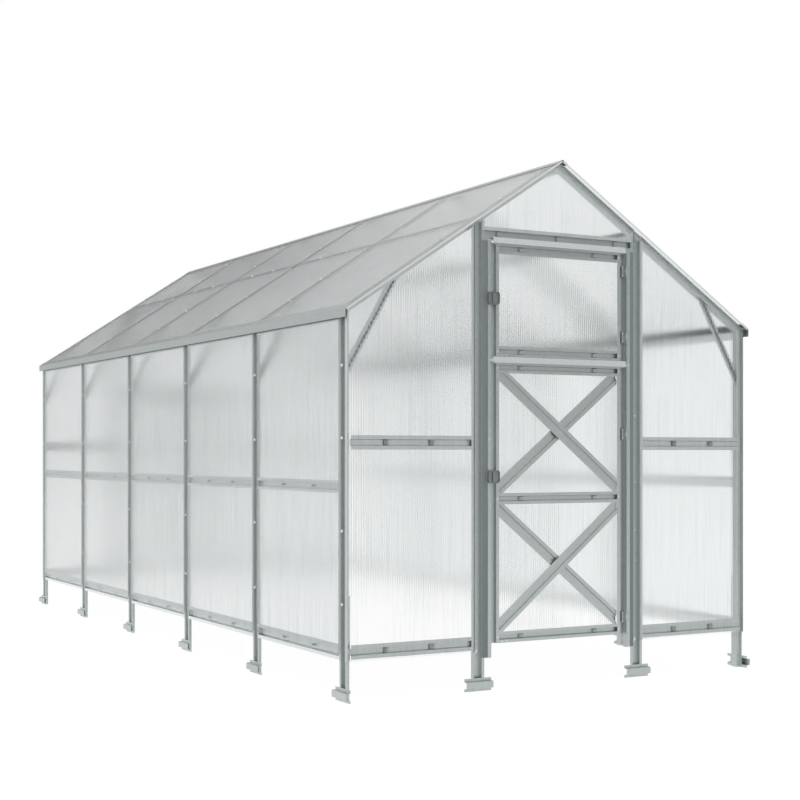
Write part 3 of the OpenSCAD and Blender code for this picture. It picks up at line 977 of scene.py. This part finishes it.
@dataclass
class Hardware:
    """Sets of fasteners by place, all of them left out of the CAD for their size.

    A rise is a height above the sill, or a distance up the slope from the eave. A run is a distance
    along a face from its middle. All are in metres.
    """

    house: House
    palette: Palette
    cap_rises: tuple[float, ...] = (0.26, 0.595, 1.02, 1.352)
    wall_rails: tuple[tuple[float, float], ...] = ((0.797, RailSection.floor), (0.04, PostSection.floor))
    wall_pad_runs: tuple[float, ...] = (-0.17, 0.17)
    rafter_screws: tuple[float, ...] = (0.235, 0.455, 0.785, 1.03, 1.28)
    verge_screws: tuple[float, ...] = (0.236, 0.629, 1.03)
    purlin_rise: float = 0.835
    purlin_runs: tuple[float, ...] = (-0.165, 0.165)
    door_post_runs: tuple[float, ...] = (-0.473, 0.473)
    foot_rivets: tuple[tuple[float, float], ...] = ((-0.028, 0.007), (0.028, 0.055))
    gable_pad_runs: tuple[float, ...] = (-0.966, -0.723, 0.723, 0.966)
    gable_rail_rises: tuple[float, ...] = (0.044, 1.0)
    header_pad_runs: tuple[float, ...] = (-0.348, 0.0, 0.348)
    header_rise: float = 2.002
    left_post_screws: tuple[float, ...] = (0.053, 0.559, 1.06, 1.51)
    right_post_run: float = 0.482
    right_post_screws: tuple[float, ...] = (0.407, 0.56, 0.803, 1.141)
    right_edge_run: float = 0.502
    right_edge_screws: tuple[float, ...] = (1.11, 1.174)
    strip_screws: tuple[tuple[float, float], ...] = ((-0.414, 1.02), (0.414, 1.396))
    strip_height: float = 10 * MM
    jamb_bolt_rise: float = 0.006
    # The dark strips by the door posts are a painted shadow for the gap beside each surround strip.
    seal_runs: tuple[float, ...] = (-0.4385, 0.4385)
    seal_half_w: float = 13 * MM
    seal_base: float = 0.4 * MM
    seal_crown: float = 0.8 * MM
    seal_bevel: float = 2 * MM
    strip_lap: float = 1.5 * MM
    pad_width: float = 22 * MM
    pad_depth: float = 10 * MM
    wall_pad_height: float = 10 * MM
    gable_pad_height: float = 24 * MM
    leaf_pad_height: float = 18 * MM
    leaf_pad_runs: tuple[float, ...] = (-0.22, 0.22)
    leaf_rivet_runs: tuple[float, ...] = (-0.362, 0.362)
    corner_rivet_runs: tuple[float, ...] = (-0.335, -0.31)
    corner_rivet_drop: float = 19 * MM
    hinge_run: float = 0.385
    hinge_screw_shifts: tuple[float, ...] = (-0.019, 0.019)
    hinge_plate: float = 2 * MM
    bar_pin_out: float = 15 * MM
    bar_pin_length: float = 42 * MM
    bar_pin_radius: float = 2 * MM

    def build(self) -> None:
        """Sets the fasteners of the walls, roof, feet, gables and leaves."""
        self._walls()
        self._roof()
        self._feet()
        self._gables()
        self._seals()
        self._leaf(LeafPlan.door("door", "door", End.FRONT))
        self._leaf(LeafPlan.vent("vent", "house", End.FRONT))
        self._leaf(LeafPlan.door("rear_door", "house", End.REAR))
        self._leaf(LeafPlan.vent("rear_vent", "house", End.REAR))

    def _set(
        self,
        name: str,
        shape: bpy.types.Object,
        places: Sequence[Matrix],
        finish: bpy.types.Material,
        body: str = "house",
    ) -> None:
        """Scatters a shape and dresses the set.

        Args:
            name: Name of the set.
            shape: The fastener.
            places: Where the copies stand.
            finish: Their material.
            body: The CAD body they move with.
        """
        Bench.dress(Bench.scatter(name, shape, places), (finish,), body, "zinc_fittings")

    def _pads(
        self, name: str, heads: str, height: float, seats: Sequence[Matrix], body: str = "house"
    ) -> None:
        """Sets pads on the floors of rails, each with its screw head, both in a grey that is partly a
        painted shade.

        Args:
            name: Name of the set of pads.
            heads: Name of the set of heads.
            height: Size of a pad across its rail.
            seats: Where the pads stand.
            body: The CAD body they move with.
        """
        tops = [seat @ Matrix.Translation((0, 0, self.pad_depth)) for seat in seats]
        pad = Fasteners.block(self.pad_width, height, self.pad_depth)
        # The pads and their heads take the darker grey, partly a painted shade.
        self._set(name, pad, seats, self.palette.rubber, body)
        self._set(heads, Fasteners.pan_screw(), tops, self.palette.rubber, body)

    def _walls(self) -> None:
        """Sets the caps in the posts and the pads in the rails of the long walls."""
        caps, seats = [], []
        for side in Side:
            face = self.house.wall_face(side)
            for y in self.house.frame_y:
                caps += [face.at(side.value * y, rise, -PostSection.floor) for rise in self.cap_rises]
            for y in self.house.bay_y:
                for run in self.wall_pad_runs:
                    across = side.value * y + run
                    seats += [face.at(across, rise, -floor) for rise, floor in self.wall_rails]
        self._set("post_caps", Fasteners.post_cap(), caps, self.palette.zinc)
        self._pads("wall_rail_spacers", "wall_rail_screws", self.wall_pad_height, seats)

    def _roof(self) -> None:
        """Sets the screws that hold the roof sheets to the rafters and purlins."""
        screws = []
        top = self.house.sheet_t
        for side in Side:
            face = self.house.roof_face(side)
            for y in self.house.frame_y[1:-1]:
                screws += [face.at(side.value * y, rise, top) for rise in self.rafter_screws]
            for y in (self.house.frame_y[0], self.house.frame_y[-1]):
                screws += [face.at(side.value * y, rise, top) for rise in self.verge_screws]
            for y in self.house.bay_y:
                screws += [face.at(side.value * y + run, self.purlin_rise, top) for run in self.purlin_runs]
        self._set("roof_screws", Fasteners.roof_screw(), screws, self.palette.zinc)

    def _feet(self) -> None:
        """Sets two rivets in each cross-piece, low on the left and high on the right."""
        legs = []
        for side in Side:
            legs += [(self.house.wall_face(side), side.value * y) for y in self.house.frame_y]
        for end in End:
            legs += [(self.house.gable_face(end), run) for run in self.door_post_runs]
        rivets = []
        for face, run in legs:
            rivets += [face.at(run + shift, z - self.house.sill_z) for shift, z in self.foot_rivets]
        self._set("foot_rivets", Fasteners.rivet(), rivets, self.palette.strip)

    def _gables(self) -> None:
        """Sets the pads in the gable rails and headers and the screws of the door posts."""
        seats, screws, bolts = [], [], []
        spots = [(run, rise) for run in self.gable_pad_runs for rise in self.gable_rail_rises]
        spots += [(run, self.header_rise) for run in self.header_pad_runs]
        left_run = self.door_post_runs[0]
        for end in End:
            face = self.house.gable_face(end)
            seats += [face.at(run, rise, -RailSection.floor) for run, rise in spots]
            screws += [face.at(left_run, rise, -PostSection.floor) for rise in self.left_post_screws]
            screws += [
                face.at(self.right_post_run, rise, -PostSection.floor) for rise in self.right_post_screws
            ]
            screws += [
                face.at(self.right_edge_run, rise, self.house.sheet_t) for rise in self.right_edge_screws
            ]
            screws += [face.at(run, rise, self.strip_height) for run, rise in self.strip_screws]
            bolts += [face.at(run, self.jamb_bolt_rise, -PostSection.floor) for run in self.door_post_runs]
        self._pads("gable_spacers", "gable_spacer_screws", self.gable_pad_height, seats)
        self._set("gable_screws", Fasteners.pan_screw(), screws, self.palette.zinc)
        self._set("jamb_bolts", Fasteners.hex_bolt(), bolts, self.palette.zinc)

    def _seals(self) -> None:
        """Lays a flat dark strip along each surround strip, over its lap on the door post, as a painted
        shadow for the shadow gap there.
        """
        low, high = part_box("surround_strips")
        length = high.z - low.z - 2 * MM
        rise = low.z - self.house.sill_z + MM
        places = []
        for end in End:
            face = self.house.gable_face(end)
            places += [face.at(run, rise, self.strip_lap) for run in self.seal_runs]
        low_corner = Vector((-self.seal_half_w, 0, 0))
        seal = Bench.block("seal", low_corner, Vector((self.seal_half_w, length, self.seal_base)))
        Bench.pick(seal, "FACE", lambda polygon: polygon.normal.z > 0.9)
        bpy.ops.mesh.inset(thickness=self.seal_bevel, depth=self.seal_crown)
        bpy.ops.object.mode_set(mode="OBJECT")
        Bench.close(seal, 20)
        # The dark strips are a painted shadow, laid where the door posts show a shadow gap.
        self._set("door_post_seals", seal, places, self.palette.seal)

    def _leaf(self, leaf: LeafPlan) -> None:
        """Sets the pads, rivets, hinge screws and drip-bar pin of one leaf.

        Args:
            leaf: The leaf's plan.
        """
        face = self.house.gable_face(leaf.end)
        seats = [face.at(run, rise, -RailSection.floor) for run in self.leaf_pad_runs for rise in leaf.rails]
        rivets = [face.at(run, rise) for run in self.leaf_rivet_runs for rise in leaf.rails]
        rivets += [face.at(run, leaf.rails[0] - self.corner_rivet_drop) for run in self.corner_rivet_runs]
        rises = [rise + shift for rise in leaf.hinges for shift in self.hinge_screw_shifts]
        screws = [face.at(self.hinge_run, rise, self.hinge_plate) for rise in rises]
        pads, heads = leaf.name + "_spacers", leaf.name + "_spacer_screws"
        self._pads(pads, heads, self.leaf_pad_height, seats, leaf.body)
        self._set(leaf.name + "_rivets", Fasteners.rivet(), rivets, self.palette.zinc, leaf.body)
        self._set(leaf.name + "_hinge_screws", Fasteners.pan_screw(), screws, self.palette.strip, leaf.body)
        sideways = Face(face.at(0, 0).to_translation(), face.up, face.right.cross(face.up))
        place = sideways.at(leaf.bar, self.bar_pin_out, -self.hinge_run) @ Matrix.Rotation(math.pi, 4, "Y")
        pin = Fasteners.pin(self.bar_pin_length, self.bar_pin_radius)
        self._set(leaf.name + "_bar_pin", pin, [place], self.palette.zinc, leaf.body)


@dataclass(frozen=True)
class Scrim:
    """A large dim panel that only mirrored rays see, so that steel turned to it looks darker."""

    name: str
    middle: tuple[float, float, float]
    turn_deg: tuple[float, float, float]
    size: tuple[float, float, float]
    strength: float

    def build(self) -> None:
        """Hangs the panel."""
        bpy.ops.object.select_all(action="DESELECT")
        turn = [math.radians(angle) for angle in self.turn_deg]
        bpy.ops.mesh.primitive_plane_add(size=1, location=self.middle, rotation=turn)
        scrim = bpy.context.object
        scrim.name = self.name
        scrim.scale = self.size
        material = bpy.data.materials.new("grey scrim cloth")
        tree = new_tree(material)
        glow = add_node(tree, "Emission", {"Strength": self.strength})
        add_node(tree, "OutputMaterial", {"Surface": glow.outputs[0]})
        scrim.data.materials.append(material)
        scrim.visible_camera = False
        scrim.visible_transmission = False
        scrim.visible_diffuse = False
        scrim.visible_shadow = False


@dataclass
class Studio:
    """White studio: pale floor, soft surround, dim panels, camera."""

    floor_half: float = 60.0
    floor_drop: float = 0.5 * MM
    floor_glow: float = 0.95
    camera_at: tuple[float, float, float] = (-4.2047, -8.5347, 1.1361)
    camera_turn_deg: float = -28.874
    lens_mm: float = 66.57
    shift_up: float = 0.0661
    scrims: tuple[Scrim, ...] = (
        Scrim("overhead_scrim", (8, 25, 7), (0, 0, 0), (22, 34, 1), 0.3),
        Scrim("front_scrim", (9, -18, 4), (90, 0, 27), (40, 14, 1), 0.42),
        Scrim("rear_scrim", (-4, 30, 2), (90, 0, 0), (17, 9, 1), 0.65),
    )

    def build(self) -> None:
        """Makes the camera, the floor, the surround and the scrims."""
        self._camera()
        self._floor()
        self._surround()
        for scrim in self.scrims:
            scrim.build()
        bpy.context.scene.view_settings.view_transform = "Standard"

    def _camera(self) -> None:
        """Stands the camera where the photograph was taken from."""
        camera = bpy.data.cameras.new("camera")
        camera.sensor_width = 36
        camera.lens = self.lens_mm
        camera.shift_y = self.shift_up
        stand = bpy.data.objects.new("camera", camera)
        stand.location = self.camera_at
        stand.rotation_euler = (math.radians(90), 0, math.radians(self.camera_turn_deg))
        bpy.context.scene.collection.objects.link(stand)
        bpy.context.scene.camera = stand

    def _floor(self) -> None:
        """Lays the floor just under the feet."""
        bpy.ops.object.select_all(action="DESELECT")
        bpy.ops.mesh.primitive_plane_add(size=2 * self.floor_half, location=(0, 0, -self.floor_drop))
        floor = bpy.context.object
        floor.name = "studio_floor"
        material = bpy.data.materials.new("matt white floor")
        tree = new_tree(material)
        rays = add_node(tree, "LightPath").outputs
        direct, mirrored, through = [rays[f"Is {kind} Ray"] for kind in ("Camera", "Glossy", "Transmission")]
        seen = add_node(tree, "Math", {0: direct, 1: mirrored}, operation="MAXIMUM")
        seen = add_node(tree, "Math", {0: seen.outputs[0], 1: through}, operation="MAXIMUM")
        paint = add_node(tree, "BsdfDiffuse", {"Color": linear("#F2F2F2")})
        shaded = add_node(tree, "BsdfDiffuse", {"Color": linear("#505050")})
        glow = add_node(tree, "Emission", {"Strength": self.floor_glow})
        lit = add_node(tree, "AddShader", {0: shaded.outputs[0], 1: glow.outputs[0]})
        mix = add_node(tree, "MixShader", {0: seen.outputs[0], 1: paint.outputs[0], 2: lit.outputs[0]})
        add_node(tree, "OutputMaterial", {"Surface": mix.outputs[0]})
        floor.data.materials.append(material)

    def _surround(self) -> None:
        """Lights the studio with plain white from all round."""
        world = bpy.data.worlds.new("studio")
        bpy.context.scene.world = world
        tree = new_tree(world)
        light = add_node(tree, "Background", {"Color": linear("#FFFFFF"), "Strength": 1.0})
        add_node(tree, "OutputWorld", {"Surface": light.outputs[0]})


def main() -> None:
    """Builds the dressed greenhouse."""
    logging.basicConfig(level=logging.INFO, format="%(name)s: %(message)s")
    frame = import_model()
    house = House.from_frame()
    palette = Palette.make()
    for row in frame["record"]["subparts"]:
        node = frame["nodes"][row["node"]]
        finish = palette.of_node(row["node"], row["material_slot"])
        node.data.materials.clear()
        node.data.materials.append(finish)
        LOG.info("%s is finished in %s", row["node"], finish.name)
    Cladding(house, frame, palette).build()
    Hardware(house, palette).build()
    Studio().build()


if __name__ == "__main__":
    main()
